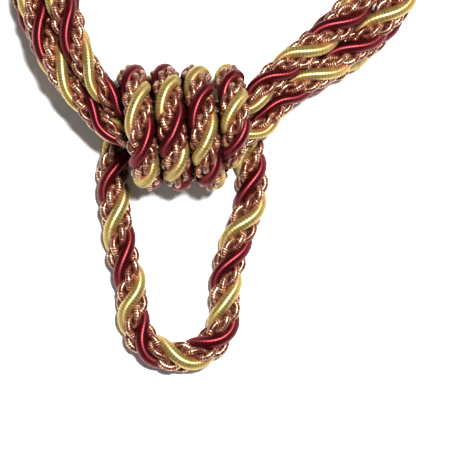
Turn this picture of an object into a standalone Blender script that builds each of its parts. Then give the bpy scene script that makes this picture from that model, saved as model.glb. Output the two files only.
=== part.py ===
"""A curtain tieback of twisted burgundy-and-gold rope, lying on a flat surface.

Two closed loops of rope, one lying on the other, run through a knot and make its two arms.
A third rope, the binding, wraps four turns round them as the knot's barrel, and its two
sides hang below the knot and meet in a bend.

The frame: the origin lies on the surface under the middle of the knot, +X runs along the
knot's barrel, +Y from the hanging cord towards the arms, and +Z is up.
"""

from collections import namedtuple
import math

import bpy
import numpy as np

# ---------------------------------------------------------------- driving dimensions

MM = 0.001
ROPE_DIAMETER = 10.0 * MM        # over the crests of the four plies
VALLEY_SHARE = 0.68              # depth of the groove between two plies, of the crest radius
PLIES = 4
STEPS_PER_LAY = 8                # rings of the swept section in one turn of the plies
LAY = 28.0 * MM                  # length of rope in which a ply goes once round

WRAP_SIZE = 0.90                 # the rope of the knot is drawn tight
WRAP_LAY = 21.5 * MM             # and its plies turn faster round the bends
WRAP_PITCH = 9.45 * MM
WRAP_START_X = -17.2 * MM        # where the first turn leaves the underside
WRAP_HALF_WIDTH = 14.7 * MM      # of the rope's centre line, along Y
WRAP_HALF_HEIGHT = 14.6 * MM     # of the rope's centre line, along Z
WRAP_POINTS = 12                 # points of the route in one turn
WRAP_STEPS = 35                  # and in all three, the last of which ends underneath
KNOT_HEIGHT = 18.1 * MM          # of the barrel's axis over the surface
CORE_REACH = 11.0 * MM           # the runs are straight this far from the knot's middle
CORE_SIZE = 0.78                 # and are squeezed inside the knot

BEND_RADIUS = 14.0 * MM          # of the hanging cord's lower bend
BEND_CENTRE = (-1.05 * MM, -55.2 * MM)
BEND_STEP = 30                   # degrees between two points of that bend
HANGING_SIZE = 0.98
LYING_HEIGHT = 4.6 * MM          # of a loose rope's centre line over the surface

EYE_RADIUS = 16.0 * MM           # of a loop's bend at the end of an arm
EYE_LENGTH = 52.0 * MM           # over which the runs spread into the eye
EYE_SIZE = 0.96
EYE_POINTS = 9                   # points of the route round an eye's half circle
BEFORE_EYE = (0.35, 0.7, 1.0)    # where a run has points between its last stack and the eye
INTO_EYE = (0.25, 0.5, 0.75, 1.0)

SAMPLE_STEP = 0.4 * MM           # of the smooth centre line
LOOP_COLOUR = (0.28, 0.10, 0.06)
UNDER_LOOP_COLOUR = (0.26, 0.09, 0.06)
BINDING_COLOUR = (0.30, 0.11, 0.06)
ROUGHNESS = 0.45

SNAP = 0.06 * MM                 # points this near the surface are put on it
CUTTER_LOW = (-0.20, -0.20, -0.02)
CUTTER_HIGH = (0.25, 0.35, 0.0)

# A point of a route in millimetres, the rope's size there and the length of its lay.
Knot = namedtuple("Knot", "x y z size lay")
# A place where a ply faces straight up: 0 for the gold ply and 0.5 for the burgundy one.
Mark = namedtuple("Mark", "x y z ply")
GOLD = 0.0
BURGUNDY = 0.5

# The middle line of each arm on the surface, in millimetres, from the knot's mouth outwards.
# The last stretch is straight, because the eye's half circle stands on its end.
Place = namedtuple("Place", "x y")
LEFT_ARM = (
    Place(-15.0, 0.6), Place(-18.0, 2.0), Place(-20.9, 3.9), Place(-24.1, 6.8),
    Place(-27.8, 10.9), Place(-31.5, 15.9), Place(-35.0, 21.9), Place(-37.5, 28.2),
    Place(-40.2, 36.4), Place(-42.6, 47.0), Place(-44.0, 60.0), Place(-43.8, 75.0),
    Place(-41.0, 90.0), Place(-34.5, 103.5), Place(-23.5, 113.5), Place(-9.5, 117.5),
    Place(5.0, 115.0), Place(16.5, 106.5), Place(22.8, 94.0), Place(24.0, 81.0),
    Place(23.0, 69.0),
)
RIGHT_ARM = (
    Place(15.0, 0.6), Place(18.0, 1.7), Place(21.8, 4.0), Place(26.2, 9.1),
    Place(31.6, 14.0), Place(38.4, 18.9), Place(45.4, 24.1), Place(53.5, 31.3),
    Place(61.0, 40.5), Place(67.5, 52.0), Place(72.0, 66.0), Place(74.0, 82.0),
    Place(73.5, 98.0), Place(70.5, 113.0), Place(64.0, 127.5), Place(53.5, 139.5),
    Place(39.5, 148.0), Place(24.0, 152.0), Place(9.0, 152.5),
)

# How the four runs of an arm lie, in millimetres: the distance along the arm from its first
# place, and for each run its place beside the middle line, towards the inside of the ring
# that the arms make, and its height. The inner loop's two runs lie on the outer loop's.
Stack = namedtuple(
    "Stack",
    "along size near_side near_up far_side far_up under_near_side under_near_up "
    "under_far_side under_far_up",
)
STACKS = (
    Stack(0, 0.73, 3.8, 21.8, -3.8, 21.8, 3.8, 14.3, -3.8, 14.3),
    Stack(4, 0.73, 3.2, 21.9, -3.9, 21.2, 3.2, 14.3, -4.0, 13.7),
    Stack(8, 0.75, 2.9, 22.8, -4.0, 20.2, 2.9, 14.9, -4.1, 12.3),
    Stack(12, 0.78, 3.1, 24.5, -3.5, 20.4, 3.2, 15.4, -3.5, 11.0),
    Stack(18, 0.82, 3.4, 24.4, -3.4, 19.5, 3.4, 14.6, -3.4, 9.7),
    Stack(26, 0.86, 3.7, 23.6, -3.7, 18.8, 3.9, 14.0, -3.9, 9.0),
    Stack(34, 0.90, 3.9, 22.4, -3.9, 17.5, 4.4, 12.4, -4.6, 7.2),
    Stack(49, 0.92, 4.0, 19.8, -4.2, 14.7, 5.2, 9.6, -5.6, 4.6),
    Stack(64, 0.94, 4.7, 16.9, -4.8, 14.3, 4.9, 7.0, -5.1, 4.6),
    Stack(79, 0.95, 4.9, 15.2, -4.9, 14.4, 5.0, 5.3, -5.0, 4.6),
    Stack(96, 0.96, 5.0, 14.6, -5.0, 14.6, 5.0, 4.6, -5.0, 4.6),
    Stack(114, 0.96, 5.0, 14.6, -5.0, 14.6, 5.0, 4.6, -5.0, 4.6),
)

# Where each run passes through the middle of the knot, beside and above the origin.
Core = namedtuple("Core", "side up")
CORE = {
    "near": Core(4.0, 22.6), "far": Core(-4.0, 22.6),
    "under_near": Core(4.0, 14.4), "under_far": Core(-4.0, 14.4),
}

# The end of the binding that is tucked in at the knot's lower right, from its tip up the
# front to where the turn begins, then over the top and down the back to the hanging cord.
RIGHT_TURN = (
    Knot(14.5, -11.2, 20.8, 0.34, 21.5), Knot(14.9, -10.4, 24.4, 0.44, 21.5),
    Knot(15.3, -8.8, 27.9, 0.60, 21.5), Knot(15.9, -5.6, 30.8, 0.76, 21.5),
    Knot(16.1, -1.6, 32.5, 0.88, 21.5), Knot(16.0, 2.8, 32.6, 0.90, 21.5),
    Knot(15.5, 7.6, 30.8, 0.90, 21.5), Knot(14.8, 11.9, 27.0, 0.90, 21.5),
    Knot(14.2, 14.4, 21.4, 0.90, 21.5), Knot(14.0, 14.3, 15.4, 0.90, 21.5),
    Knot(14.7, 11.8, 9.8, 0.90, 21.5), Knot(16.1, 7.6, 6.0, 0.90, 22.0),
    Knot(18.0, 1.8, 4.4, 0.92, 24.0), Knot(19.8, -5.0, 4.4, 0.94, 26.0),
    Knot(20.8, -11.5, 4.6, 0.96, 28.0), Knot(21.1, -17.5, 4.6, 0.98, 28.0),
    Knot(20.4, -23.4, 4.6, 0.98, 28.0), Knot(18.5, -28.9, 4.6, 0.98, 28.0),
    Knot(15.7, -36.0, 4.6, 0.98, 28.0), Knot(13.7, -43.5, 4.6, 0.98, 28.0),
    Knot(12.9, -50.5, 4.6, 0.98, 28.0),
)
LEFT_CORD = (
    Knot(-15.3, -49.0, 4.6, 0.98, 28.0), Knot(-17.7, -39.6, 4.6, 0.98, 28.0),
    Knot(-19.4, -30.5, 4.6, 0.98, 28.0), Knot(-20.7, -20.5, 4.6, 0.98, 28.0),
    Knot(-21.0, -12.8, 4.6, 0.97, 28.0), Knot(-19.6, -6.2, 4.5, 0.94, 26.0),
    Knot(-17.9, 0.6, 4.2, 0.91, 24.0),
)


# ---------------------------------------------------------------- smooth centre lines

def spline(points, closed):
    """A smooth cubic curve through the points, sampled finely, with all their columns."""
    points = np.array(points, dtype=float)
    if closed:
        points = np.vstack([points, points[:1]])
    chords = np.linalg.norm(np.diff(points[:, :3], axis=0), axis=1)
    at = np.concatenate([[0.0], np.cumsum(chords)])
    slopes = spline_slopes(points, at, closed)
    samples = []
    for i, chord in enumerate(chords):
        count = max(2, int(round(chord / SAMPLE_STEP)))
        for t in np.arange(count) / count:
            h00 = (1 + 2 * t) * (1 - t) ** 2
            h10 = t * (1 - t) ** 2
            h01 = t * t * (3 - 2 * t)
            h11 = t * t * (t - 1)
            samples.append(
                h00 * points[i] + h10 * chord * slopes[i]
                + h01 * points[i + 1] + h11 * chord * slopes[i + 1]
            )
    samples.append(points[-1])
    return np.array(samples)


def spline_slopes(points, at, closed):
    """The slopes that make the curve's bending run on smoothly from piece to piece."""
    count = len(points)
    system = np.zeros((count, count))
    right = np.zeros_like(points)
    steps = np.diff(at)
    for i in range(1, count - 1):
        before, after = steps[i - 1], steps[i]
        system[i, i - 1] = after
        system[i, i] = 2 * (before + after)
        system[i, i + 1] = before
        right[i] = 3 * (
            after / before * (points[i] - points[i - 1])
            + before / after * (points[i + 1] - points[i])
        )
    if closed:
        before, after = steps[-1], steps[0]
        system[0, count - 2] = after
        system[0, 0] = 2 * (before + after)
        system[0, 1] = before
        right[0] = 3 * (
            after / before * (points[0] - points[count - 2])
            + before / after * (points[1] - points[0])
        )
        system[-1, 0] = -1.0
        system[-1, -1] = 1.0
    else:
        system[0, :2] = (2.0, 1.0)
        right[0] = 3 * (points[1] - points[0]) / steps[0]
        system[-1, -2:] = (1.0, 2.0)
        right[-1] = 3 * (points[-1] - points[-2]) / steps[-1]
    return np.linalg.solve(system, right)


def arc_lengths(line):
    """The distance along a centre line to each of its samples."""
    return np.concatenate([[0.0], np.cumsum(np.linalg.norm(np.diff(line, axis=0), axis=1))])


def frames(line):
    """For each sample the tangent and two side directions that don't twist about it."""
    tangents = np.gradient(line, axis=0)
    tangents /= np.linalg.norm(tangents, axis=1)[:, None]
    side = np.cross(tangents[0], (0.0, 0.0, 1.0))
    side /= np.linalg.norm(side)
    sides = [side]
    for i in range(len(line) - 1):
        step = line[i + 1] - line[i]
        mirrored_side = side - 2 * step * np.dot(step, side) / np.dot(step, step)
        mirrored_tangent = tangents[i] - 2 * step * np.dot(step, tangents[i]) / np.dot(step, step)
        second = tangents[i + 1] - mirrored_tangent
        length = np.dot(second, second)
        if length > 0:
            mirrored_side = mirrored_side - 2 * second * np.dot(second, mirrored_side) / length
        side = mirrored_side / np.linalg.norm(mirrored_side)
        sides.append(side)
    sides = np.array(sides)
    return tangents, sides, np.cross(tangents, sides)


# ---------------------------------------------------------------- the twist

def up_angles(sides, others):
    """The angle, about the centre line, of the direction that faces up."""
    return np.unwrap(np.arctan2(others[:, 2], sides[:, 2]))


def twist_angles(route, marks, closed):
    """The gold ply's angle at each sample: the plies face up at the marks, and between two
    marks they make the whole number of turns that comes nearest to the rope's own lay."""
    line = route[:, :3]
    lays = route[:, 4]
    along = arc_lengths(line)
    tangents, sides, others = frames(line)
    up = up_angles(sides, others)
    own = np.concatenate([[0.0], np.cumsum(np.diff(along) / (0.5 * (lays[1:] + lays[:-1])))])
    places = sorted(
        (int(np.argmin(np.linalg.norm(line - np.array(mark[:3]) * MM, axis=1))), mark.ply)
        for mark in marks
    )
    if closed:
        places = [(0, GOLD)] + places + [(len(line) - 1, GOLD)]
    at = []
    turns = []
    for index, ply in places:
        faced = up[index] / (2 * math.pi) - ply
        if at:
            expected = turns[-1] + own[index] - own[at[-1]]
            faced += round(expected - faced)
        at.append(index)
        turns.append(faced)
    result = np.interp(own, own[at], turns)
    before = own < own[at[0]]
    result[before] = turns[0] + own[before] - own[at[0]]
    after = own > own[at[-1]]
    result[after] = turns[-1] + own[after] - own[at[-1]]
    return 2 * math.pi * result


def rope_rings(route, marks, closed):
    """The rings of the four-lobed section, evenly spread over the turning of the plies."""
    line = route[:, :3]
    tangents, sides, others = frames(line)
    angles = twist_angles(route, marks, closed)
    rings = int(round((angles[-1] - angles[0]) / (2 * math.pi) * STEPS_PER_LAY))
    wanted = np.linspace(angles[0], angles[-1], rings + 1)
    if closed:
        wanted = wanted[:-1]
    at = np.interp(wanted, angles, np.arange(len(line)))
    corners = 2 * PLIES
    result = []
    for position, angle in zip(at, wanted):
        low = min(int(position), len(line) - 2)
        share = position - low
        centre = line[low] * (1 - share) + line[low + 1] * share
        side = sides[low] * (1 - share) + sides[low + 1] * share
        other = others[low] * (1 - share) + others[low + 1] * share
        size = route[low, 3] * (1 - share) + route[low + 1, 3] * share
        ring = []
        for corner in range(corners):
            turn = angle + corner * math.pi / PLIES
            radius = 0.5 * ROPE_DIAMETER * size * (1.0 if corner % 2 == 0 else VALLEY_SHARE)
            ring.append(centre + radius * (side * math.cos(turn) + other * math.sin(turn)))
        result.append(ring)
    return result


# ---------------------------------------------------------------- the routes

def in_metres(knot):
    """A route point with its places and its lay in metres."""
    return (knot.x * MM, knot.y * MM, knot.z * MM, knot.size, knot.lay * MM)


def wrap_turns():
    """The three whole turns of the binding, from the underside of the first."""
    rows = []
    for i in range(1, WRAP_STEPS + 1):
        turn = i / WRAP_POINTS
        angle = 2 * math.pi * turn
        rows.append((
            WRAP_START_X + WRAP_PITCH * turn,
            WRAP_HALF_WIDTH * math.sin(angle),
            KNOT_HEIGHT - WRAP_HALF_HEIGHT * math.cos(angle),
            WRAP_SIZE,
            WRAP_LAY,
        ))
    return rows


def lower_bend():
    """The hanging cord's bend, from its right side to its left."""
    rows = []
    for degrees in range(0, -181, -BEND_STEP):
        angle = math.radians(degrees)
        rows.append((
            BEND_CENTRE[0] + BEND_RADIUS * math.cos(angle),
            BEND_CENTRE[1] + BEND_RADIUS * math.sin(angle),
            LYING_HEIGHT, HANGING_SIZE, LAY,
        ))
    return rows


def binding_route():
    """From the end tucked in at the lower right to the end under the barrel."""
    return (
        [in_metres(knot) for knot in RIGHT_TURN]
        + lower_bend()
        + [in_metres(knot) for knot in LEFT_CORD]
        + wrap_turns()
    )


def arm_line(places):
    """An arm's middle line on the surface, its lengths and its sideways directions."""
    flat = np.array([(place.x * MM, place.y * MM, 0.0) for place in places])
    line = spline(flat, closed=False)
    along = arc_lengths(line)
    tangents = np.gradient(line, axis=0)
    tangents /= np.linalg.norm(tangents, axis=1)[:, None]
    inward = np.cross(tangents, (0.0, 0.0, 1.0))
    if places[0].x > 0:
        inward = -inward
    return line, along, tangents, inward


def arm_run(places, run, eye_side):
    """One run of an arm, from the knot to the middle of its eye."""
    line, along, tangents, inward = arm_line(places)
    marks = [stack.along * MM for stack in STACKS]
    wanted = marks[1:]
    eye_start = along[-1] - EYE_LENGTH
    spare = eye_start - wanted[-1]
    wanted += [wanted[-1] + spare * share for share in BEFORE_EYE]
    wanted += [eye_start + EYE_LENGTH * share for share in INTO_EYE]
    sides = [getattr(stack, run + "_side") * MM for stack in STACKS]
    heights = [getattr(stack, run + "_up") * MM for stack in STACKS]
    rows = []
    for distance in wanted:
        spread = min(max((distance - eye_start) / EYE_LENGTH, 0.0), 1.0)
        ease = spread * spread * (3 - 2 * spread)
        aside = np.interp(distance, marks, sides)
        aside += ease * (eye_side - aside)
        up = np.interp(distance, marks, heights)
        size = np.interp(distance, marks, [stack.size for stack in STACKS])
        index = int(np.argmin(np.abs(along - distance)))
        point = line[index] + inward[index] * aside
        rows.append((point[0], point[1], up, size, LAY))
    return rows


def eye_arc(places, height, from_near):
    """The half circle round an arm's eye, without its two ends."""
    line, along, tangents, inward = arm_line(places)
    start = 1.0 if from_near else -1.0
    rows = []
    for i in range(1, EYE_POINTS):
        angle = math.pi * i / EYE_POINTS
        point = (
            line[-1] + inward[-1] * EYE_RADIUS * start * math.cos(angle)
            + tangents[-1] * EYE_RADIUS * math.sin(angle)
        )
        rows.append((point[0], point[1], height * MM, EYE_SIZE, LAY))
    return rows


def core_run(core, along_x):
    """A run's short way through the knot, given from left to right or back."""
    ends = (-1.0, 0.0, 1.0) if along_x else (1.0, 0.0, -1.0)
    return [(end * CORE_REACH, core.side * MM, core.up * MM, CORE_SIZE, LAY) for end in ends]


def loop_route(near, far):
    """A closed loop: out to the right eye on the near side of the ring, back on the far
    side, through the knot, out to the left eye and back again."""
    right_near = arm_run(RIGHT_ARM, near, EYE_RADIUS)
    right_far = arm_run(RIGHT_ARM, far, -EYE_RADIUS)
    left_near = arm_run(LEFT_ARM, near, EYE_RADIUS)
    left_far = arm_run(LEFT_ARM, far, -EYE_RADIUS)
    height = getattr(STACKS[-1], near + "_up")
    return (
        left_near[::-1]
        + core_run(CORE[near], along_x=True)
        + right_near
        + eye_arc(RIGHT_ARM, height, from_near=True)
        + right_far[::-1]
        + core_run(CORE[far], along_x=False)
        + left_far
        + eye_arc(LEFT_ARM, height, from_near=False)
    )


# ---------------------------------------------------------------- the plies' marks

INNER_MARKS = (
    Mark(-28.8, 15.9, 23.5, GOLD), Mark(-33.9, 30.6, 20.5, BURGUNDY),
    Mark(27.9, 14.4, 23.5, BURGUNDY), Mark(36.3, 22.2, 22.0, GOLD),
    Mark(27.9, 8.7, 19.5, BURGUNDY), Mark(40.8, 14.1, 16.5, GOLD),
    Mark(-35.5, 15.8, 18.0, GOLD), Mark(-42.0, 30.5, 14.5, BURGUNDY),
)
BINDING_MARKS = (
    Mark(15.9, -4.8, 31.2, BURGUNDY), Mark(15.8, 5.1, 31.9, GOLD),
    Mark(19.9, -5.8, 4.4, GOLD), Mark(21.0, -16.3, 4.6, BURGUNDY),
    Mark(18.4, -29.0, 4.6, GOLD), Mark(-17.9, -39.6, 4.6, BURGUNDY),
    Mark(-20.2, -26.4, 4.6, GOLD), Mark(-21.0, -13.2, 4.6, BURGUNDY),
    Mark(-13.3, 6.5, 31.0, GOLD), Mark(-12.2, -6.2, 31.1, BURGUNDY),
    Mark(-4.0, 8.5, 30.3, GOLD), Mark(-2.8, -1.5, 32.8, BURGUNDY),
    Mark(6.2, 4.1, 32.3, BURGUNDY), Mark(7.0, -3.8, 32.4, GOLD),
)


# ---------------------------------------------------------------- solids

def rope_mesh(name, rings, closed):
    """A closed skin over the rings, with a flat end at each end of an open rope."""
    corners = len(rings[0])
    points = [tuple(point) for ring in rings for point in ring]
    points = [(x, y, 0.0 if abs(z) < SNAP else z) for x, y, z in points]
    faces = []
    last = len(rings) if closed else len(rings) - 1
    for i in range(last):
        here = i * corners
        there = ((i + 1) % len(rings)) * corners
        for j in range(corners):
            k = (j + 1) % corners
            if j % 2 == 0:
                faces.append((here + j, here + k, there + j))
                faces.append((here + k, there + k, there + j))
            else:
                faces.append((here + j, here + k, there + k))
                faces.append((here + j, there + k, there + j))
    if not closed:
        faces.append(tuple(reversed(range(corners))))
        faces.append(tuple(range(len(points) - corners, len(points))))
    mesh = bpy.data.meshes.new(name)
    mesh.from_pydata(points, [], faces)
    mesh.validate()
    mesh.shade_smooth()
    return mesh


def rope_material(name, colour):
    """A plain finish in the rope's mean colour."""
    material = bpy.data.materials.new(name)
    material.use_nodes = True
    shader = material.node_tree.nodes["Principled BSDF"]
    shader.inputs["Base Color"].default_value = (*colour, 1.0)
    shader.inputs["Roughness"].default_value = ROUGHNESS
    shader.inputs["Metallic"].default_value = 0.0
    return material


def surface_cutter():
    """A slab whose top is the surface, which flattens the ropes where they rest."""
    mesh = bpy.data.meshes.new("surface_cutter")
    spans = list(zip(CUTTER_LOW, CUTTER_HIGH))
    points = [(x, y, z) for x in spans[0] for y in spans[1] for z in spans[2]]
    faces = [(0, 1, 3, 2), (4, 6, 7, 5), (0, 4, 5, 1), (2, 3, 7, 6), (0, 2, 6, 4), (1, 5, 7, 3)]
    mesh.from_pydata(points, [], faces)
    cutter = bpy.data.objects.new("surface_cutter", mesh)
    cutter.hide_render = True
    cutter.display_type = "WIRE"
    bpy.context.scene.collection.objects.link(cutter)
    return cutter


def add_rope(name, route_points, marks, closed, material, cutter):
    """One rope of the tieback as a solid, flat where it rests on the surface."""
    route = spline(route_points, closed)
    rings = rope_rings(route, marks, closed)
    rope = bpy.data.objects.new(name, rope_mesh(name, rings, closed))
    rope.data.materials.append(material)
    bpy.context.scene.collection.objects.link(rope)
    rest = rope.modifiers.new("rest", "BOOLEAN")
    rest.operation = "DIFFERENCE"
    rest.solver = "EXACT"
    rest.object = cutter
    return rope


def build():
    """The whole tieback."""
    for old in list(bpy.data.objects):
        bpy.data.objects.remove(old, do_unlink=True)
    cutter = surface_cutter()
    add_rope(
        "inner_loop",
        loop_route("near", "far"),
        INNER_MARKS, True, rope_material("loop_rope", LOOP_COLOUR), cutter,
    )
    add_rope(
        "outer_loop",
        loop_route("under_near", "under_far"),
        (), True, rope_material("under_loop_rope", UNDER_LOOP_COLOUR), cutter,
    )
    add_rope(
        "binding", binding_route(), BINDING_MARKS, False,
        rope_material("binding_rope", BINDING_COLOUR), cutter,
    )


build()
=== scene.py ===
"""Dresses the knotted rope tieback: every rope gets its four plies of satin and gimp.

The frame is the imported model's: metres, +Z up, the origin on the surface under the knot.
"""

import logging
import math
from dataclasses import dataclass
from enum import Enum

import bpy
import numpy as np
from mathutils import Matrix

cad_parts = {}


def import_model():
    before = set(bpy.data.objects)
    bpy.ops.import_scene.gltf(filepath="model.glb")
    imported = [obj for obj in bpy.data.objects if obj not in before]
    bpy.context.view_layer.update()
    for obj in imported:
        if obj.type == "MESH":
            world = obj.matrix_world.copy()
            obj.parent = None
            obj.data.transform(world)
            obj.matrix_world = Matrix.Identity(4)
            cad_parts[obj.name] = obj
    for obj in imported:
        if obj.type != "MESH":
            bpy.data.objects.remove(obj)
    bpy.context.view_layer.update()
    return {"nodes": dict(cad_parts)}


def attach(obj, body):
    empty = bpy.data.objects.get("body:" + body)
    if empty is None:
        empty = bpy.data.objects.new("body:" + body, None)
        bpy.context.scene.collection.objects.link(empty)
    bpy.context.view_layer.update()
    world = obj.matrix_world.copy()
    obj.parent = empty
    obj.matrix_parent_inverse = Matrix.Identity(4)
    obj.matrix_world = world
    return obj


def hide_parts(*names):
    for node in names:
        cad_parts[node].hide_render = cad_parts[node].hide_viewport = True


LOG = logging.getLogger("tieback")

MM = 0.001
THREAD_UV = "thread"  # millimetres along a ply in U, a turn round it in V

Row = tuple[float, float, float, float, float]
Colour = tuple[float, float, float, float]
Material = bpy.types.Material
Node = bpy.types.Node
Socket = bpy.types.NodeSocket
Tree = bpy.types.NodeTree


# ------------------------ small helpers

def linear(hex_text: str) -> Colour:
    """Turns an sRGB hex colour into the linear colour that shaders take.

    Args:
        hex_text: Six hex digits after a #.

    Returns:
        Red, green, blue and an alpha of 1.
    """
    parts = [int(hex_text[i:i + 2], 16) / 255 for i in (1, 3, 5)]
    values = [c / 12.92 if c <= 0.04045 else ((c + 0.055) / 1.055) ** 2.4 for c in parts]
    return (values[0], values[1], values[2], 1.0)


def add_node(tree: Tree, kind: str, inputs: dict | None = None, **settings: object) -> Node:
    """Adds a node with its settings and links.

    Args:
        tree: The material's node tree.
        kind: The node's type name.
        inputs: For each input socket a value or another node's output socket.
        settings: The node's own properties.

    Returns:
        The new node.
    """
    node = tree.nodes.new(kind)
    for name, value in settings.items():
        setattr(node, name, value)
    fill_inputs(tree, node, inputs or {})
    return node


def fill_inputs(tree: Tree, node: Node, inputs: dict) -> None:
    """Gives a node's input sockets their links and values.

    Args:
        tree: The material's node tree.
        node: The node.
        inputs: For each input socket a value or another node's output socket.
    """
    for socket, value in inputs.items():
        if isinstance(value, Socket):
            tree.links.new(value, node.inputs[socket])
        else:
            node.inputs[socket].default_value = value


def calculated(tree: Tree, operation: str, *values: Socket | float) -> Socket:
    """The result of a calculation with up to three values, in the operation's own order."""
    node = add_node(tree, "ShaderNodeMath", dict(enumerate(values)), operation=operation)
    return node.outputs[0]


def ramped(tree: Tree, value: Socket, start: float, full: float, top: float = 1.0) -> Socket:
    """Rises from 0 while a value goes from one number to another.

    Args:
        tree: The material's node tree.
        value: The value.
        start: Where the result leaves 0.
        full: Where it reaches its top.
        top: The top.

    Returns:
        The result.
    """
    node = add_node(
        tree, "ShaderNodeMapRange",
        {"Value": value, "From Min": start, "From Max": full, "To Max": top})
    return node.outputs["Result"]


def blended(tree: Tree, share: Socket, first: Socket | Colour,
            second: Socket | Colour) -> Socket:
    """A colour between two others.

    Args:
        tree: The material's node tree.
        share: How much of the second colour it has.
        first: The first colour.
        second: The second colour.

    Returns:
        The colour.
    """
    node = add_node(
        tree, "ShaderNodeMix", {"Factor": share, "A": first, "B": second}, data_type="RGBA")
    return node.outputs["Result"]


def new_material(name: str) -> tuple[Material, Tree, Node]:
    """Makes a material that has nothing but its main shader.

    Args:
        name: The material's name.

    Returns:
        The material, its node tree and the shader.
    """
    material = bpy.data.materials.new(name)
    material.use_nodes = True
    tree = material.node_tree
    return material, tree, tree.nodes["Principled BSDF"]


def unit(vectors: np.ndarray) -> np.ndarray:
    """The vectors, one to a row, at length one."""
    return vectors / np.linalg.norm(vectors, axis=1)[:, None]


def crosswise(line: np.ndarray, outward: np.ndarray) -> tuple[np.ndarray, np.ndarray]:
    """Two directions across a line, at a right angle to it and to each other.

    Args:
        line: The line's points.
        outward: The way that the first direction faces as nearly as it can.

    Returns:
        The two directions at each point.
    """
    tangents = unit(np.gradient(line, axis=0))
    first = unit(outward - (outward * tangents).sum(1)[:, None] * tangents)
    return first, np.cross(tangents, first)


def arc_lengths(line: np.ndarray) -> np.ndarray:
    """The distance along a line to each of its points."""
    return np.concatenate([[0.0], np.cumsum(np.linalg.norm(np.diff(line, axis=0), axis=1))])


# ------------------------ the rope's measures

class Ply(Enum):
    """What a ply is made of. The value is the name of its finish."""

    GOLD = "gold_rayon_satin"
    BURGUNDY = "burgundy_rayon_satin"
    GIMP = "wound_gimp"


@dataclass(frozen=True)
class RopeSizes:
    """The rope of which the whole tieback is tied."""

    diameter: float = 10.0 * MM
    lay: float = 28.0 * MM
    # Shares of the rope's radius. Four plies touch at 0.414. Soft ones are a little thicker
    # and press into each other.
    ply_share: float = 0.440  # a satin ply's radius
    offset_share: float = 0.575  # from the rope's middle to a ply's
    fine_share: float = 0.225  # the radius of one of the gimp's fine cords
    fine_offset: float = 0.235  # from the gimp ply's middle to a fine cord's
    fine_cords: int = 2  # in a gimp ply
    fine_turns: float = -3.9  # of the fine cords in one lay, the other way
    steps: int = 52  # rings of each tube in one lay
    satin_sides: int = 14  # of a satin ply's tube
    fine_sides: int = 9  # of a fine cord's tube
    sample: float = 0.4 * MM  # between the places of the smooth centre line


ROPE = RopeSizes()

# The plies round the rope, each with its place in turns from the gold one.
PLIES = ((Ply.GOLD, 0.0), (Ply.GIMP, 0.25), (Ply.BURGUNDY, 0.5), (Ply.GIMP, 0.75))

# The order of the finishes in every piece.
FINISHES = (Ply.GOLD, Ply.BURGUNDY, Ply.GIMP)


@dataclass(frozen=True)
class Point:
    """A point of a rope's route in millimetres."""

    x: float
    y: float
    z: float
    size: float  # of the rope there, as a share of its free diameter
    lay: float = 28.0  # the length in which its plies make one turn

    def in_metres(self) -> Row:
        """The point's place, size and lay, with the lengths in metres."""
        return (self.x * MM, self.y * MM, self.z * MM, self.size, self.lay * MM)


@dataclass(frozen=True)
class Mark:
    """A place, in millimetres, where a satin ply faces up."""

    x: float
    y: float
    z: float
    ply: Ply

    def share(self) -> float:
        """The ply's place round the rope, in turns from the gold one."""
        return next(share for ply, share in PLIES if ply is self.ply)


@dataclass(frozen=True)
class Stack:
    """How an arm's four runs lie at one place of the arm, in millimetres.

    A side is the run's distance from the arm's middle line, towards the inside of the ring
    that the two arms make. An up is the height of the run's middle.
    """

    along: float  # the distance along the arm from its first place
    size: float  # the runs' thickness, as a share of the free rope's
    near_side: float
    near_up: float
    far_side: float
    far_up: float
    under_near_side: float
    under_near_up: float
    under_far_side: float
    under_far_up: float


# ------------------------ smooth centre lines

def slopes_of(points: np.ndarray, at: np.ndarray, closed: bool) -> np.ndarray:
    """The slopes that make a curve's bending run on smoothly from piece to piece.

    Args:
        points: The curve's points with all their columns.
        at: The distance to each point along the chords.
        closed: Whether the last point is the first again.

    Returns:
        A slope for each point and column.
    """
    count = len(points)
    system = np.zeros((count, count))
    right = np.zeros_like(points)
    steps, moves = np.diff(at), np.diff(points, axis=0)
    for i in range(0 if closed else 1, count - 1):
        before, after = steps[i - 1], steps[i]
        # On a closed curve the piece before the first point is the last one.
        system[i, [i - 1 if i else count - 2, i, i + 1]] = (after, 2 * (before + after), before)
        right[i] = 3 * (after / before * moves[i - 1] + before / after * moves[i])
    if closed:
        system[-1, 0] = -1.0
        system[-1, -1] = 1.0
    else:
        system[0, :2] = (2.0, 1.0)
        right[0] = 3 * moves[0] / steps[0]
        system[-1, -2:] = (1.0, 2.0)
        right[-1] = 3 * moves[-1] / steps[-1]
    return np.linalg.solve(system, right)


def smooth(rows: list[Row], closed: bool) -> np.ndarray:
    """A smooth cubic curve through the rows, sampled finely, with all their columns.

    Args:
        rows: Points with any further columns.
        closed: Whether the curve comes back to its start.

    Returns:
        The samples, one to a row.
    """
    points = np.array(rows, dtype=float)
    if closed:
        points = np.vstack([points, points[:1]])
    chords = np.linalg.norm(np.diff(points[:, :3], axis=0), axis=1)
    slopes = slopes_of(points, np.concatenate([[0.0], np.cumsum(chords)]), closed)
    samples = []
    for i, chord in enumerate(chords):
        count = max(2, int(round(chord / ROPE.sample)))
        for t in np.arange(count) / count:
            samples.append(
                (1 + 2 * t) * (1 - t) ** 2 * points[i] + t * (1 - t) ** 2 * chord * slopes[i]
                + t * t * (3 - 2 * t) * points[i + 1] + t * t * (t - 1) * chord * slopes[i + 1]
            )
    samples.append(points[-1])
    return np.array(samples)


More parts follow.
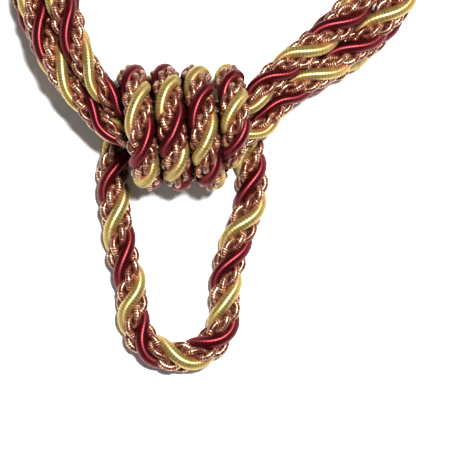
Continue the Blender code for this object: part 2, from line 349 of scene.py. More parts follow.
def carried_sides(line: np.ndarray, tangents: np.ndarray) -> np.ndarray:
    """Side directions that are carried along a line without twisting about it.

    Args:
        line: The line's points.
        tangents: Its direction at each of them.

    Returns:
        A direction across the line for each point.
    """
    side = np.cross(tangents[0], (0.0, 0.0, 1.0))
    side /= np.linalg.norm(side)
    sides = [side]
    for i, step in enumerate(np.diff(line, axis=0)):
        square = np.dot(step, step)
        mirrored = side - 2 * step * np.dot(step, side) / square
        turned = tangents[i] - 2 * step * np.dot(step, tangents[i]) / square
        second = tangents[i + 1] - turned
        length = np.dot(second, second)
        if length > 0:
            mirrored = mirrored - 2 * second * np.dot(second, mirrored) / length
        side = mirrored / np.linalg.norm(mirrored)
        sides.append(side)
    return np.array(sides)


@dataclass
class Stretch:
    """A stretch of rope: arrays with a row for each place along it."""

    line: np.ndarray  # the rope's middle
    golds: np.ndarray  # the direction from there to the gold ply
    tangents: np.ndarray  # the direction of the rope
    sizes: np.ndarray  # its thickness, as a share of the free rope's
    turns: np.ndarray  # the turns that the plies have made

    def length(self) -> float:
        """The stretch's length in metres."""
        return float(arc_lengths(self.line)[-1])

    def evenly(self) -> "Stretch":
        """Spreads the places evenly over the turning of the plies.

        Returns:
            The same stretch with its new places.
        """
        span = self.turns[-1] - self.turns[0]
        wanted = np.linspace(self.turns[0], self.turns[-1], int(round(span * ROPE.steps)) + 1)

        def at(values: np.ndarray) -> np.ndarray:
            """The values at the new places."""
            return np.stack([np.interp(wanted, self.turns, column) for column in values.T], 1)

        tangents = unit(at(self.tangents))
        golds = at(self.golds)
        golds = unit(golds - (golds * tangents).sum(1)[:, None] * tangents)
        sizes = np.interp(wanted, self.turns, self.sizes)
        return Stretch(at(self.line), golds, tangents, sizes, wanted)


class RopeLine:
    """A rope's smooth centre line, with its thickness and the way its plies turn."""

    def __init__(self, rows: list[Row], marks: tuple[Mark, ...], closed: bool) -> None:
        """Works out the line.

        Args:
            rows: The route's points in metres, with size and lay.
            marks: The places where a satin ply faces up.
            closed: Whether the rope is a loop.
        """
        samples = smooth(rows, closed)
        self.closed = closed
        self.line = samples[:, :3]
        self.sizes = samples[:, 3]
        lays = samples[:, 4]
        steps = np.diff(arc_lengths(self.line))
        self.turns = np.concatenate([[0.0], np.cumsum(steps / (0.5 * (lays[1:] + lays[:-1])))])
        self.tangents = unit(np.gradient(self.line, axis=0))
        sides = carried_sides(self.line, self.tangents)
        others = np.cross(self.tangents, sides)
        angles = self._angles(np.unwrap(np.arctan2(others[:, 2], sides[:, 2])), marks)
        self.golds = sides * np.cos(angles)[:, None] + others * np.sin(angles)[:, None]

    def _angles(self, up: np.ndarray, marks: tuple[Mark, ...]) -> np.ndarray:
        """The gold ply's angle at each sample, in radians.

        Between two marks the plies turn as both ask, as near to the rope's lay as can be.

        Args:
            up: The angle of the direction that faces up.
            marks: The places where a satin ply faces up.

        Returns:
            An angle for each sample.
        """
        places = sorted((self.nearest((m.x, m.y, m.z)), m.share()) for m in marks)
        if self.closed:  # gold faces up where the loop begins and ends
            places = [(0, 0.0)] + places + [(len(self.line) - 1, 0.0)]
        at: list[int] = []
        turned: list[float] = []
        for index, share in places:
            faced = up[index] / (2 * math.pi) - share
            if at:
                expected = turned[-1] + self.turns[index] - self.turns[at[-1]]
                faced += round(expected - faced)
            at.append(index)
            turned.append(faced)
        result = np.interp(self.turns, self.turns[at], turned)
        before = self.turns < self.turns[at[0]]
        result[before] = turned[0] + self.turns[before] - self.turns[at[0]]
        after = self.turns > self.turns[at[-1]]
        result[after] = turned[-1] + self.turns[after] - self.turns[at[-1]]
        return 2 * math.pi * result

    def nearest(self, place: tuple[float, float, float]) -> int:
        """The index of the sample that lies nearest to a place in millimetres."""
        return int(np.argmin(np.linalg.norm(self.line - np.array(place) * MM, axis=1)))

    def stretch(self, first: int, last: int) -> Stretch:
        """The rope from one sample to another, past a loop's joint if it has to.

        Args:
            first: The index of the first sample.
            last: The index of the last sample.

        Returns:
            The stretch between them.
        """
        if first < last:
            picked = np.arange(first, last + 1)
            turns = self.turns[picked]
        else:
            picked = np.concatenate([np.arange(first, len(self.line) - 1), np.arange(last + 1)])
            turns = self.turns[picked] + np.where(picked < first, self.turns[-1], 0.0)
        return Stretch(
            self.line[picked], self.golds[picked], self.tangents[picked],
            self.sizes[picked], turns,
        )


# ------------------------ plies

class MeshDraft:
    """The tubes of one piece, gathered before its mesh is made."""

    def __init__(self) -> None:
        """Starts with nothing."""
        self.points: list[np.ndarray] = []
        self.faces: list[list[int]] = []
        self.uvs: list[np.ndarray] = []
        self.finishes: list[int] = []
        self.count = 0

    def tube(self, line: np.ndarray, outward: np.ndarray, radii: np.ndarray, sides: int,
             finish: int) -> None:
        """Adds a tube with closed ends, with its length in millimetres along U.

        Args:
            line: The tube's middle line.
            outward: For each place the direction from which V starts.
            radii: The tube's radius at each place.
            sides: How many sides the tube has.
            finish: The index of its finish.
        """
        first, second = crosswise(line, outward)
        around = 2 * math.pi * np.arange(sides) / sides
        rings = (
            line[:, None] + radii[:, None, None] * (
                first[:, None] * np.cos(around)[None, :, None]
                + second[:, None] * np.sin(around)[None, :, None]
            )
        )
        rings[:, :, 2] = np.maximum(rings[:, :, 2], 0.0)
        count = len(line)
        ring, side = np.meshgrid(np.arange(count - 1), np.arange(sides), indexing="ij")
        following = (side + 1) % sides
        quads = np.stack([
            ring * sides + side, ring * sides + following,
            (ring + 1) * sides + following, (ring + 1) * sides + side,
        ], axis=-1).reshape(-1, 4) + self.count
        along = arc_lengths(line) / MM
        low, high = along[ring], along[ring + 1]
        start, end = side / sides, (side + 1) / sides
        corners = np.moveaxis(np.array([
            [low, start], [low, end], [high, end], [high, start],
        ]), (0, 1), (-2, -1)).reshape(-1, 2)
        cap = np.arange(sides) + self.count
        last = cap + (count - 1) * sides
        self.points.append(rings.reshape(-1, 3))
        self.faces += quads.tolist() + [cap[::-1].tolist(), last.tolist()]
        caps = np.concatenate([
            np.stack([np.full(sides, along[0]), np.arange(sides)[::-1] / sides], -1),
            np.stack([np.full(sides, along[-1]), np.arange(sides) / sides], -1),
        ])
        self.uvs += [corners, caps]
        self.finishes += [finish] * (len(quads) + 2)
        self.count += count * sides

    def rope(self, stretch: Stretch) -> None:
        """Adds the four plies of a stretch of rope.

        Args:
            stretch: The stretch, with its places evenly spread.
        """
        radius = 0.5 * ROPE.diameter * stretch.sizes
        across = np.cross(stretch.tangents, stretch.golds)
        for ply, share in PLIES:
            angle = 2 * math.pi * share
            outward = stretch.golds * math.cos(angle) + across * math.sin(angle)
            middle = stretch.line + outward * (ROPE.offset_share * radius)[:, None]
            if ply is Ply.GIMP:
                self._gimp(middle, outward, radius, stretch.turns)
            else:
                self.tube(
                    middle, outward, ROPE.ply_share * radius, ROPE.satin_sides,
                    FINISHES.index(ply))

    def _gimp(self, middle: np.ndarray, outward: np.ndarray, radius: np.ndarray,
              turns: np.ndarray) -> None:
        """Adds a gimp ply: fine cords that turn about its middle the other way.

        Args:
            middle: The ply's middle line.
            outward: The direction away from the rope's middle.
            radius: The rope's radius at each place.
            turns: The turns that the rope's plies have made.
        """
        first, second = crosswise(middle, outward)
        for cord in range(ROPE.fine_cords):
            angle = 2 * math.pi * (ROPE.fine_turns * turns + cord / ROPE.fine_cords)
            away = first * np.cos(angle)[:, None] + second * np.sin(angle)[:, None]
            line = middle + away * (ROPE.fine_offset * radius)[:, None]
            self.tube(
                line, away, ROPE.fine_share * radius, ROPE.fine_sides,
                FINISHES.index(Ply.GIMP))

    def finished(self, name: str, materials: list[Material]) -> bpy.types.Object:
        """Makes the piece.

        Args:
            name: The piece's name.
            materials: Its finishes, in the order of their indices.

        Returns:
            The new object, at the origin.
        """
        mesh = bpy.data.meshes.new(name)
        mesh.from_pydata(np.vstack(self.points).tolist(), [], self.faces)
        layer = mesh.uv_layers.new(name=THREAD_UV)
        layer.data.foreach_set("uv", np.vstack(self.uvs).ravel())
        for material in materials:
            mesh.materials.append(material)
        mesh.polygons.foreach_set("material_index", self.finishes)
        mesh.shade_smooth()
        mesh.update()
        piece = bpy.data.objects.new(name, mesh)
        bpy.context.scene.collection.objects.link(piece)
        return piece


# ------------------------ finishes

@dataclass(frozen=True)
class SatinFinish:
    """Rayon floss laid round a core: smooth, and bright along one line.

    The real threads run round the ply, so the light is drawn out along it.
    """

    name: str
    base: str
    gap_shade: str  # painted shade in the gaps between the threads
    side_reflection: str  # painted reflection on the ply's sides, lit by the plies beside it; also the tint of the fuzz
    glint: Colour  # of the gloss, most of all where the ply turns away
    metallic: float = 0.80  # the gloss has the colour of the dye
    roughness: float = 0.40  # soft ends of the bright line
    anisotropy: float = 0.80  # a long bright line instead of a round spot
    gloss: float = 1.0  # glossier than the shader's usual surface
    fuzz: float = 0.05  # the loose fibres' soft light at the rim
    # Two or three real threads, which are too fine to show. They give the fine cross lines.
    pitch_mm: float = 0.85
    gap_from: float = 0.3  # of the wave from thread to gap, where a gap begins
    gap_shade_depth: float = 0.6  # how much of the painted gap shade a gap has at most
    thread_height: float = 0.04 * MM
    thread_strength: float = 0.3
    # Threads lie unevenly, which breaks the cross lines up.
    uneven_scale: tuple[float, float, float] = (1.6, 1.5, 1.0)  # per mm along, per turn
    uneven_detail: float = 3.0
    uneven_shift: float = 7.0  # of the threads, in radians of their wave
    # The painted reflection on the ply's side begins and is full at these parts of a turn from
    # its outermost line.
    side_from: float = 0.15
    side_full: float = 0.27

    def _thread_wave(self, tree: Tree, uv: Socket, along: Socket) -> Socket:
        """The wave from thread to gap.

        Args:
            tree: The material's node tree.
            uv: The place on the ply.
            along: The millimetres along the ply.

        Returns:
            A socket that runs from -1 on a thread to 1 in a gap.
        """
        stretched = add_node(
            tree, "ShaderNodeMapping", {"Vector": uv, "Scale": self.uneven_scale})
        uneven = add_node(
            tree, "ShaderNodeTexNoise",
            {"Vector": stretched.outputs["Vector"], "Scale": 1.0, "Detail": self.uneven_detail})
        phase = calculated(tree, "MULTIPLY", along, 2 * math.pi / self.pitch_mm)
        drifted = calculated(
            tree, "MULTIPLY_ADD", uneven.outputs["Fac"], self.uneven_shift, phase)
        return calculated(tree, "SINE", drifted)

    def material(self) -> Material:
        """Makes the satin.

        Returns:
            Its material.
        """
        material, tree, shader = new_material(self.name)
        uv = add_node(tree, "ShaderNodeUVMap", uv_map=THREAD_UV).outputs["UV"]
        parts = add_node(tree, "ShaderNodeSeparateXYZ", {"Vector": uv})
        wave = self._thread_wave(tree, uv, parts.outputs["X"])
        # Painted shade: the gaps between the threads darken towards the gap shade.
        shade_in_gap = ramped(tree, wave, self.gap_from, 1.0, self.gap_shade_depth)
        body = blended(tree, shade_in_gap, linear(self.base), linear(self.gap_shade))
        # The way round the ply, from 0 on its outermost line to 0.5 on its innermost.
        turned = calculated(tree, "PINGPONG", parts.outputs["Y"], 0.5)
        # Painted reflection: the ply's sides, which face the plies beside them, take the
        # reflection's colour.
        side = ramped(tree, turned, self.side_from, self.side_full)
        colour = blended(tree, side, body, linear(self.side_reflection))
        bump = add_node(
            tree, "ShaderNodeBump",
            {"Height": wave, "Strength": self.thread_strength,
             "Distance": self.thread_height})
        tangent = add_node(
            tree, "ShaderNodeTangent", direction_type="UV_MAP", uv_map=THREAD_UV)
        fill_inputs(tree, shader, {
            "Base Color": colour, "Normal": bump.outputs["Normal"],
            "Tangent": tangent.outputs["Tangent"], "Roughness": self.roughness,
            "Anisotropic": self.anisotropy, "Metallic": self.metallic,
            "Specular IOR Level": self.gloss, "Specular Tint": self.glint,
            "Sheen Weight": self.fuzz, "Sheen Tint": linear(self.side_reflection),
        })
        return material


@dataclass(frozen=True)
class GimpFinish:
    """Gimp: a fine burgundy cord with copper thread wound round it in open turns.

    The thread sparkles where the cord is turned to the light, and the cord stays dark. Random
    patches of the thread are paler, a painted highlight.
    """

    name: str = Ply.GIMP.value
    core: str = "#200504"
    core_light: str = "#4e140f"
    thread: str = "#5e2c20"
    # thread_light is the thread's painted highlight, shown in random patches
    thread_light: str = "#e8bc90"
    glint: Colour = (1.0, 0.78, 0.6, 1.0)  # of the gloss, most of all where the cord turns away
    metallic: float = 0.85  # of the thread alone, which shines like copper
    roughness: float = 0.32  # small, clear sparks
    anisotropy: float = 0.6  # drawn out along the cord
    gloss: float = 1.0  # glossier than the shader's usual surface
    # About twice the real one's, which is too fine to show. It gives the beaded look.
    pitch_mm: float = 0.72
    thread_from: float = 0.15  # of the wave, where the thread's edge begins
    thread_full: float = 0.65  # and where it ends
    thread_height: float = 0.12 * MM
    thread_strength: float = 0.6
    # Painted highlight: in random patches the thread is paler, as turns that catch the light,
    # and elsewhere it stays darker.
    patch_scale: float = 0.55  # of the patches, per mm along and per turn
    patch_detail: float = 2.0
    lit_from: float = 0.46  # of the patches, where the thread's painted highlight begins
    lit_full: float = 0.64  # and where the painted highlight is full

    def _thread(self, tree: Tree, parts: Node) -> Socket:
        """Where the wound thread is.

        Args:
            tree: The material's node tree.
            parts: The node that gives the way along the cord and round it.

        Returns:
            A socket that is 1 on the thread and 0 on the bare cord.
        """
        turns = calculated(
            tree, "MULTIPLY_ADD", parts.outputs["X"], 1.0 / self.pitch_mm, parts.outputs["Y"])
        wave = calculated(tree, "SINE", calculated(tree, "MULTIPLY", turns, 2 * math.pi))
        return ramped(tree, wave, self.thread_from, self.thread_full)

    def material(self) -> Material:
        """Makes the gimp.

        Returns:
            Its material.
        """
        material, tree, shader = new_material(self.name)
        uv = add_node(tree, "ShaderNodeUVMap", uv_map=THREAD_UV).outputs["UV"]
        thread = self._thread(tree, add_node(tree, "ShaderNodeSeparateXYZ", {"Vector": uv}))
        patches = add_node(
            tree, "ShaderNodeTexNoise",
            {"Vector": uv, "Scale": self.patch_scale, "Detail": self.patch_detail},
        ).outputs["Fac"]
        core = blended(tree, patches, linear(self.core), linear(self.core_light))
        # Painted highlight: random patches of paler thread.
        lit = ramped(tree, patches, self.lit_from, self.lit_full)
        wound = blended(tree, lit, linear(self.thread), linear(self.thread_light))
        colour = blended(tree, thread, core, wound)
        bump = add_node(
            tree, "ShaderNodeBump",
            {"Height": thread, "Strength": self.thread_strength,
             "Distance": self.thread_height})
        metal = calculated(tree, "MULTIPLY", thread, self.metallic)
        tangent = add_node(
            tree, "ShaderNodeTangent", direction_type="UV_MAP", uv_map=THREAD_UV)
        fill_inputs(tree, shader, {
            "Base Color": colour, "Metallic": metal,
            "Normal": bump.outputs["Normal"], "Tangent": tangent.outputs["Tangent"],
            "Roughness": self.roughness, "Anisotropic": self.anisotropy,
            "Specular IOR Level": self.gloss, "Specular Tint": self.glint,
        })
        return material


# Warm yellow floss with painted brown shade in the gaps, and a painted orange reflection on the
# sides where the burgundy shines back.
GOLD_SATIN = SatinFinish(
    Ply.GOLD.value, base="#9e8852", gap_shade="#4e3c1a", side_reflection="#a86a40",
    glint=(1.0, 0.95, 0.72, 1.0))

# Deep red floss with darker painted shade in the gaps, a painted red reflection on its sides,
# and a longer, pinker line of light than the gold's.
BURGUNDY_SATIN = SatinFinish(
    Ply.BURGUNDY.value, base="#5a151b", gap_shade="#32080d", side_reflection="#64221f",
    glint=(1.0, 0.8, 0.8, 1.0), metallic=0.90, anisotropy=0.88)


@dataclass(frozen=True)
class FloorFinish:
    """Smooth white board: matt, with hardly any gloss."""

    name: str = "white_board"
    colour: str = "#f4f4f2"
    shade: str = "#efefec"
    cloud_scale: float = 6.0  # of the faint clouds between the two, per metre
    roughness: float = 0.8  # no reflection of the rope
    gloss: float = 0.2

    def material(self) -> Material:
        """Makes the board.

        Returns:
            Its material.
        """
        material, tree, shader = new_material(self.name)
        place = add_node(tree, "ShaderNodeTexCoord")
        cloud = add_node(
            tree, "ShaderNodeTexNoise",
            {"Vector": place.outputs["Object"], "Scale": self.cloud_scale})
        colour = blended(
            tree, cloud.outputs["Fac"], linear(self.colour), linear(self.shade))
        fill_inputs(tree, shader, {
            "Base Color": colour, "Roughness": self.roughness,
            "Specular IOR Level": self.gloss,
        })
        return material


# ------------------------ the studio

@dataclass
class Studio:
    """The camera, the lights and the pale floor."""

    centre: tuple[float, float] = (13.65 * MM, -33.3 * MM)  # of the picture
    seen_height: float = 142.8 * MM  # of the picture, at the knot's height
    knot_level: float = 20.0 * MM  # the height at which the picture's size holds
    camera_height: float = 2.0  # so high that the rope hardly widens upwards
    clip_end: float = 8.0  # of the camera, well below the floor
    sensor: float = 36.0  # in the camera's own millimetres
    contrast: str = "Standard"  # plain, hard tones
    floor_size: float = 5.0
    floor_drop: float = 0.05 * MM  # under the rope, so that the two never mix
    # A small lamp nearly overhead, at the upper right: short shadows with clear edges.
    key_place: tuple[float, float, float] = (0.19, 0.19, 1.05)
    key_size: float = 0.16
    key_power: float = 44.0  # watts
    # A broad, weak lamp from the lower left, which opens the shadows a little.
    fill_place: tuple[float, float, float] = (-0.9, -0.4, 1.2)
    fill_size: float = 1.4
    fill_power: float = 1.5  # watts
    sky: str = "#ffffff"
    sky_strength: float = 0.15

    def camera(self) -> None:
        """Adds the camera, straight over the part, with +Y at the top of the picture."""
        bpy.ops.object.camera_add(location=(*self.centre, self.camera_height))
        camera = bpy.context.object
        camera.name = "overhead_camera"
        camera.data.sensor_width = self.sensor
        distance = self.camera_height - self.knot_level
        camera.data.lens = self.sensor * distance / self.seen_height
        camera.data.clip_end = self.clip_end
        bpy.context.scene.camera = camera
        bpy.context.scene.view_settings.view_transform = self.contrast

    def _light(self, name: str, place: tuple[float, float, float], size: float,
               power: float) -> None:
        """Adds a square lamp that points at the picture's middle.

        Args:
            name: The lamp's name.
            place: Where it hangs, in metres.
            size: Its side in metres.
            power: Its power in watts.
        """
        bpy.ops.object.light_add(type="AREA", location=place)
        lamp = bpy.context.object
        lamp.name = name
        lamp.data.size = size
        lamp.data.energy = power
        towards = np.array((*self.centre, 0.0)) - np.array(place)
        flat = math.hypot(towards[0], towards[1])
        lamp.rotation_euler = (
            math.atan2(flat, -towards[2]), 0.0,
            math.atan2(towards[1], towards[0]) - math.pi / 2,
        )
        lamp.visible_camera = False

    def lights(self) -> None:
        """Adds the key lamp at the upper right, a broad fill and an even sky."""
        self._light("key_lamp", self.key_place, self.key_size, self.key_power)
        self._light("fill_lamp", self.fill_place, self.fill_size, self.fill_power)
        world = bpy.data.worlds.new("studio_sky")
        world.use_nodes = True
        sky = world.node_tree.nodes["Background"]
        sky.inputs["Color"].default_value = linear(self.sky)
        sky.inputs["Strength"].default_value = self.sky_strength
        bpy.context.scene.world = world

    def floor(self) -> None:
        """Adds the floor a hair under the part."""
        bpy.ops.mesh.primitive_plane_add(
            size=self.floor_size, location=(*self.centre, -self.floor_drop))
        floor = bpy.context.object
        floor.name = "studio_floor"
        bpy.ops.object.transform_apply(location=True)
        floor.data.materials.append(FloorFinish().material())


# ------------------------ the ropes

class RopeMaker:
    """Makes pieces of rope, all of the same three finishes."""

    def __init__(self) -> None:
        """Makes the finishes once, in the order of FINISHES."""
        self.materials = [
            GOLD_SATIN.material(), BURGUNDY_SATIN.material(), GimpFinish().material(),
        ]

    def piece(self, name: str, stretches: list[Stretch], slot: str,
              node: str) -> bpy.types.Object:
        """Makes one piece of one or more stretches of rope.

        Args:
            name: The piece's name.
            stretches: The stretches of rope in it.
            slot: The record's material slot; not used.
            node: The CAD node that it stands for.

        Returns:
            The piece, riding on the part's only body.
        """
        draft = MeshDraft()
        for stretch in stretches:
            draft.rope(stretch.evenly())
        made = draft.finished(name, self.materials)
        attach(made, "root")
        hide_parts(node)
        total = sum(stretch.length() for stretch in stretches)
        LOG.info("%s: %.0f mm of rope, %d faces", name, total / MM, len(made.data.polygons))
        return made

    def cord(self, name: str, stretch: Stretch, slot: str, node: str,
             leaves: tuple[float, float, float]) -> bpy.types.Object:
        """Makes a free stretch of rope that goes from the knot back into the knot.

        Args:
            name: The piece's name.
            stretch: The stretch of rope.
            slot: The record's material slot.
            node: The CAD node that it stands for.
            leaves: Where it leaves the knot, in millimetres; not used.

        Returns:
            The piece.
        """
        made = self.piece(name, [stretch], slot, node)
        stretch.length()
        return made


@dataclass(frozen=True)
class ArmShape:
    """An arm's middle line on the surface, in millimetres, from the knot's mouth outwards."""

    places: tuple[tuple[float, float], ...]

    def line(self) -> tuple[np.ndarray, np.ndarray, np.ndarray, np.ndarray]:
        """The smooth middle line.

        Returns:
            Its points, lengths, directions and the directions to the inside of the ring.
        """
        points = smooth([(x * MM, y * MM, 0.0) for x, y in self.places], closed=False)
        tangents = unit(np.gradient(points, axis=0))
        inward = np.cross(tangents, (0.0, 0.0, 1.0))
        if self.places[0][0] > 0:
            inward = -inward
        return points, arc_lengths(points), tangents, inward


@dataclass
class Arms:
    """The two loops of rope that run through the knot and make its arms."""

    core_reach: float = 11.0  # millimetres from the knot's middle to a core's end
    core_size: float = 0.78  # squeezed by the binding
    eye_radius: float = 16.0 * MM  # from the arm's middle line to the rope's
    eye_length: float = 52.0 * MM  # the part of an arm in which its two sides part
    eye_size: float = 0.96
    eye_points: int = 9  # parts of an eye's half circle
    # The further places of a run: shares of the way to the eye, then of the eye's length.
    before_eye: tuple[float, ...] = (0.35, 0.7, 1.0)
    into_eye: tuple[float, ...] = (0.25, 0.5, 0.75, 1.0)
    left: ArmShape = ArmShape((
        (-15.0, 0.6), (-18.0, 2.0), (-20.9, 3.9), (-24.1, 6.8), (-27.8, 10.9), (-31.5, 15.9),
        (-35.0, 21.9), (-37.5, 28.2), (-40.2, 36.4), (-42.6, 47.0), (-44.0, 60.0), (-43.8, 75.0),
        (-41.0, 90.0), (-34.5, 103.5), (-23.5, 113.5), (-9.5, 117.5), (5.0, 115.0),
        (16.5, 106.5), (22.8, 94.0), (24.0, 81.0), (23.0, 69.0),
    ))
    right: ArmShape = ArmShape((
        (15.0, 0.6), (18.0, 1.7), (21.8, 4.0), (26.2, 9.1), (31.6, 14.0), (38.4, 18.9),
        (45.4, 24.1), (53.5, 31.3), (61.0, 40.5), (67.5, 52.0), (72.0, 66.0), (74.0, 82.0),
        (73.5, 98.0), (70.5, 113.0), (64.0, 127.5), (53.5, 139.5), (39.5, 148.0), (24.0, 152.0),
        (9.0, 152.5),
    ))
    stacks: tuple[Stack, ...] = (
        Stack(0, 0.73, 3.8, 21.8, -3.8, 21.8, 3.8, 14.3, -3.8, 14.3),
        Stack(4, 0.73, 3.2, 21.9, -3.9, 21.2, 3.2, 14.3, -4.0, 13.7),
        Stack(8, 0.75, 2.9, 22.8, -4.0, 20.2, 2.9, 14.9, -4.1, 12.3),
        Stack(12, 0.78, 3.1, 24.5, -3.5, 20.4, 3.2, 15.4, -3.5, 11.0),
        Stack(18, 0.82, 3.4, 24.4, -3.4, 19.5, 3.4, 14.6, -3.4, 9.7),
        Stack(26, 0.86, 3.7, 23.6, -3.7, 18.8, 3.9, 14.0, -3.9, 9.0),
        Stack(34, 0.90, 3.9, 22.4, -3.9, 17.5, 4.4, 12.4, -4.6, 7.2),
        Stack(49, 0.92, 4.0, 19.8, -4.2, 14.7, 5.2, 9.6, -5.6, 4.6),
        Stack(64, 0.94, 4.7, 16.9, -4.8, 14.3, 4.9, 7.0, -5.1, 4.6),
        Stack(79, 0.95, 4.9, 15.2, -4.9, 14.4, 5.0, 5.3, -5.0, 4.6),
        Stack(96, 0.96, 5.0, 14.6, -5.0, 14.6, 5.0, 4.6, -5.0, 4.6),
        Stack(114, 0.96, 5.0, 14.6, -5.0, 14.6, 5.0, 4.6, -5.0, 4.6),
    )
    # Inside the knot: each run's name, its Y and its height in millimetres.
    cores: tuple[tuple[str, float, float], ...] = (
        ("near", 4.0, 22.6), ("far", -4.0, 22.6),
        ("under_near", 4.0, 14.4), ("under_far", -4.0, 14.4),
    )
    marks: tuple[Mark, ...] = (
        Mark(-28.8, 15.9, 23.5, Ply.GOLD), Mark(-33.9, 30.6, 20.5, Ply.BURGUNDY),
        Mark(27.9, 14.4, 23.5, Ply.BURGUNDY), Mark(36.3, 22.2, 22.0, Ply.GOLD),
        Mark(27.9, 8.7, 19.5, Ply.BURGUNDY), Mark(40.8, 14.1, 16.5, Ply.GOLD),
        Mark(-35.5, 15.8, 18.0, Ply.GOLD), Mark(-42.0, 30.5, 14.5, Ply.BURGUNDY),
    )
    exit_reach: float = 18.0  # where the arms leave the knot, in millimetres

    def _column(self, name: str) -> list[float]:
        """One column of the stacks."""
        return [getattr(stack, name) for stack in self.stacks]

    def _run(self, arm: ArmShape, run: str, eye_side: float) -> list[Row]:
        """One run of an arm, from the knot to the middle of its eye.

        Args:
            arm: The arm's shape.
            run: The run's name in the stacks.
            eye_side: How far beside the middle line it ends, in metres.

        Returns:
            The run's points.
        """
        points, along, tangents, inward = arm.line()
        marks = [distance * MM for distance in self._column("along")]
        eye_start = along[-1] - self.eye_length
        spare = eye_start - marks[-1]
        wanted = marks[1:] + [marks[-1] + spare * share for share in self.before_eye]
        wanted += [eye_start + self.eye_length * share for share in self.into_eye]
        rows = []
        for distance in wanted:
            spread = min(max((distance - eye_start) / self.eye_length, 0.0), 1.0)
            ease = spread * spread * (3 - 2 * spread)  # starts and ends level
            aside = np.interp(distance, marks, self._column(run + "_side")) * MM
            aside += ease * (eye_side - aside)
            up = np.interp(distance, marks, self._column(run + "_up")) * MM
            size = np.interp(distance, marks, self._column("size"))
            index = int(np.argmin(np.abs(along - distance)))
            place = points[index] + inward[index] * aside
            rows.append((place[0], place[1], up, size, ROPE.lay))
        return rows

    def _eye(self, arm: ArmShape, height: float, from_near: bool) -> list[Row]:
        """The half circle round an arm's eye, without its two ends.

        Args:
            arm: The arm's shape.
            height: The height of the rope's middle in metres.
            from_near: Whether it starts on the inside of the ring.

        Returns:
            Its points.
        """
        points, along, tangents, inward = arm.line()
        start = self.eye_radius if from_near else -self.eye_radius
        rows = []
        for i in range(1, self.eye_points):
            angle = math.pi * i / self.eye_points
            place = (
                points[-1] + inward[-1] * start * math.cos(angle)
                + tangents[-1] * self.eye_radius * math.sin(angle)
            )
            rows.append((place[0], place[1], height, self.eye_size, ROPE.lay))
        return rows

    def _core(self, run: str, rightwards: bool) -> list[Row]:
        """A run's short way through the knot.

        Args:
            run: The run's name.
            rightwards: Whether it goes from left to right.

        Returns:
            Its three points.
        """
        side, up = next((core[1], core[2]) for core in self.cores if core[0] == run)
        ends = (-1.0, 0.0, 1.0) if rightwards else (1.0, 0.0, -1.0)
        return [
            (end * self.core_reach * MM, side * MM, up * MM, self.core_size, ROPE.lay)
            for end in ends
        ]

    def _route(self, near: str, far: str) -> list[Row]:
        """A closed loop: out to the right eye and back, through the knot, to the left eye.

        Args:
            near: The run on the inside of the ring.
            far: The run on its outside.

        Returns:
            The loop's points.
        """
        height = self._column(near + "_up")[-1] * MM
        return (
            self._run(self.left, near, self.eye_radius)[::-1]
            + self._core(near, rightwards=True)
            + self._run(self.right, near, self.eye_radius)
            + self._eye(self.right, height, from_near=True)
            + self._run(self.right, far, -self.eye_radius)[::-1]
            + self._core(far, rightwards=False)
            + self._run(self.left, far, -self.eye_radius)
            + self._eye(self.left, height, from_near=False)
        )

    def _loop(self, maker: RopeMaker, node: str, slot: str, runs: tuple[str, str],
              marks: tuple[Mark, ...]) -> None:
        """Makes a loop as two cords that meet in the middle of the knot.

        Args:
            maker: Makes the pieces.
            node: The CAD node's name.
            slot: The record's material slot.
            runs: The names of its near and far runs.
            marks: Where its satin plies face up.
        """
        line = RopeLine(self._route(*runs), marks, closed=True)
        places = [next(core[1:] for core in self.cores if core[0] == run) for run in runs]
        near, far = (line.nearest((0.0, *place)) for place in places)
        up = places[0][1]
        maker.cord(
            node + "_right_arm", line.stretch(near, far), slot, node,
            (self.exit_reach, 0.0, up))
        maker.cord(
            node + "_left_arm", line.stretch(far, near), slot, node,
            (-self.exit_reach, 0.0, up))

    def build(self, maker: RopeMaker) -> None:
        """Makes both loops.

        Args:
            maker: Makes the pieces.
        """
        self._loop(maker, "inner_loop", "loop_rope", ("near", "far"), self.marks)
        self._loop(
            maker, "outer_loop", "under_loop_rope", ("under_near", "under_far"), ())


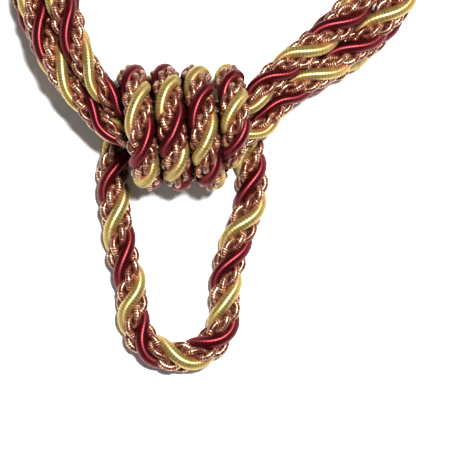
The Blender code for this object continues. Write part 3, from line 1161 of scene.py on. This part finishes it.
@dataclass
class Binding:
    """The rope that wraps the arms four times and hangs below the knot."""

    turn_size: float = 0.90
    turn_lay: float = 21.5 * MM  # shorter than the free rope's, as it is wound
    pitch: float = 9.45 * MM  # from turn to turn
    start_x: float = -17.2 * MM  # where the first turn begins underneath
    half_width: float = 14.7 * MM  # of a turn, to the rope's middle line
    half_height: float = 14.6 * MM
    barrel_height: float = 18.1 * MM  # of the knot's middle over the surface
    turn_points: int = 12  # points in a turn
    turn_steps: int = 35  # points in the first three turns, which end underneath
    bend_radius: float = 14.0 * MM  # of the hanging cord's lower bend
    bend_centre: tuple[float, float] = (-1.05 * MM, -55.2 * MM)
    bend_end: int = -180  # degrees from its right side to its left
    bend_step: int = 30
    hanging_size: float = 0.98
    lying_height: float = 4.6 * MM  # of the rope's middle where it lies flat
    # The fourth turn, from its tucked tip over the front, down the back and into the cord.
    right_turn: tuple[Point, ...] = (
        Point(14.5, -11.2, 20.8, 0.34, 21.5), Point(14.9, -10.4, 24.4, 0.44, 21.5),
        Point(15.3, -8.8, 27.9, 0.60, 21.5), Point(15.9, -5.6, 30.8, 0.76, 21.5),
        Point(16.1, -1.6, 32.5, 0.88, 21.5), Point(16.0, 2.8, 32.6, 0.90, 21.5),
        Point(15.5, 7.6, 30.8, 0.90, 21.5), Point(14.8, 11.9, 27.0, 0.90, 21.5),
        Point(14.2, 14.4, 21.4, 0.90, 21.5), Point(14.0, 14.3, 15.4, 0.90, 21.5),
        Point(14.7, 11.8, 9.8, 0.90, 21.5), Point(16.1, 7.6, 6.0, 0.90, 22.0),
        Point(18.0, 1.8, 4.4, 0.92, 24.0), Point(19.8, -5.0, 4.4, 0.94, 26.0),
        Point(20.8, -11.5, 4.6, 0.96), Point(21.1, -17.5, 4.6, 0.98),
        Point(20.4, -23.4, 4.6, 0.98), Point(18.5, -28.9, 4.6, 0.98),
        Point(15.7, -36.0, 4.6, 0.98), Point(13.7, -43.5, 4.6, 0.98),
        Point(12.9, -50.5, 4.6, 0.98),
    )
    # From the hanging cord's bend up its left side and under the knot.
    left_cord: tuple[Point, ...] = (
        Point(-15.3, -49.0, 4.6, 0.98), Point(-17.7, -39.6, 4.6, 0.98),
        Point(-19.4, -30.5, 4.6, 0.98), Point(-20.7, -20.5, 4.6, 0.98),
        Point(-21.0, -12.8, 4.6, 0.97), Point(-19.6, -6.2, 4.5, 0.94, 26.0),
        Point(-17.9, 0.6, 4.2, 0.91, 24.0),
    )
    marks: tuple[Mark, ...] = (
        Mark(15.9, -4.8, 31.2, Ply.BURGUNDY), Mark(15.8, 5.1, 31.9, Ply.GOLD),
        Mark(19.9, -5.8, 4.4, Ply.GOLD), Mark(21.0, -16.3, 4.6, Ply.BURGUNDY),
        Mark(18.4, -29.0, 4.6, Ply.GOLD),
        Mark(-17.9, -39.6, 4.6, Ply.BURGUNDY), Mark(-20.2, -26.4, 4.6, Ply.GOLD),
        Mark(-21.0, -13.2, 4.6, Ply.BURGUNDY),
        Mark(-13.3, 6.5, 31.0, Ply.GOLD), Mark(-12.2, -6.2, 31.1, Ply.BURGUNDY),
        Mark(-4.4, 10.0, 28.7, Ply.GOLD), Mark(-2.8, -2.2, 32.4, Ply.BURGUNDY),
        Mark(5.6, 7.3, 30.6, Ply.BURGUNDY), Mark(7.1, -4.6, 31.8, Ply.GOLD),
    )
    # Where the hanging cord comes out from under the knot and goes back under it.
    cord_starts: tuple[float, float, float] = (19.8, -5.0, 4.4)
    cord_ends: tuple[float, float, float] = (-19.6, -6.2, 4.5)

    def _turns(self) -> list[Row]:
        """Winds the first three turns, from the underside of the first.

        Returns:
            Their points.
        """
        rows = []
        for i in range(1, self.turn_steps + 1):
            turn = i / self.turn_points
            angle = 2 * math.pi * turn
            rows.append((
                self.start_x + self.pitch * turn, self.half_width * math.sin(angle),
                self.barrel_height - self.half_height * math.cos(angle),
                self.turn_size, self.turn_lay,
            ))
        return rows

    def _bend(self) -> list[Row]:
        """Bends the hanging cord, from its right side to its left.

        Returns:
            The bend's points.
        """
        rows = []
        for degrees in range(0, self.bend_end - 1, -self.bend_step):
            angle = math.radians(degrees)
            rows.append((
                self.bend_centre[0] + self.bend_radius * math.cos(angle),
                self.bend_centre[1] + self.bend_radius * math.sin(angle),
                self.lying_height, self.hanging_size, ROPE.lay,
            ))
        return rows

    def build(self, maker: RopeMaker) -> None:
        """Makes the knot's turns and the cord that hangs below them.

        Args:
            maker: Makes the pieces.
        """
        rows = [point.in_metres() for point in self.right_turn] + self._bend()
        rows += [point.in_metres() for point in self.left_cord] + self._turns()
        line = RopeLine(rows, self.marks, closed=False)
        starts, ends = line.nearest(self.cord_starts), line.nearest(self.cord_ends)
        maker.cord(
            "hanging_cord", line.stretch(starts, ends), "binding_rope", "binding",
            self.cord_starts)
        maker.piece(
            "knot_turns",
            [line.stretch(0, starts), line.stretch(ends, len(line.line) - 1)],
            "binding_rope", "binding")


def main() -> None:
    """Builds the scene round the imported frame."""
    logging.basicConfig(level=logging.INFO, format="%(name)s %(message)s")
    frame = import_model()
    LOG.info("nodes: %s", ", ".join(sorted(frame["nodes"])))
    studio = Studio()
    studio.camera()
    maker = RopeMaker()
    Arms().build(maker)
    Binding().build(maker)
    studio.floor()
    studio.lights()


if __name__ == "__main__":
    main()
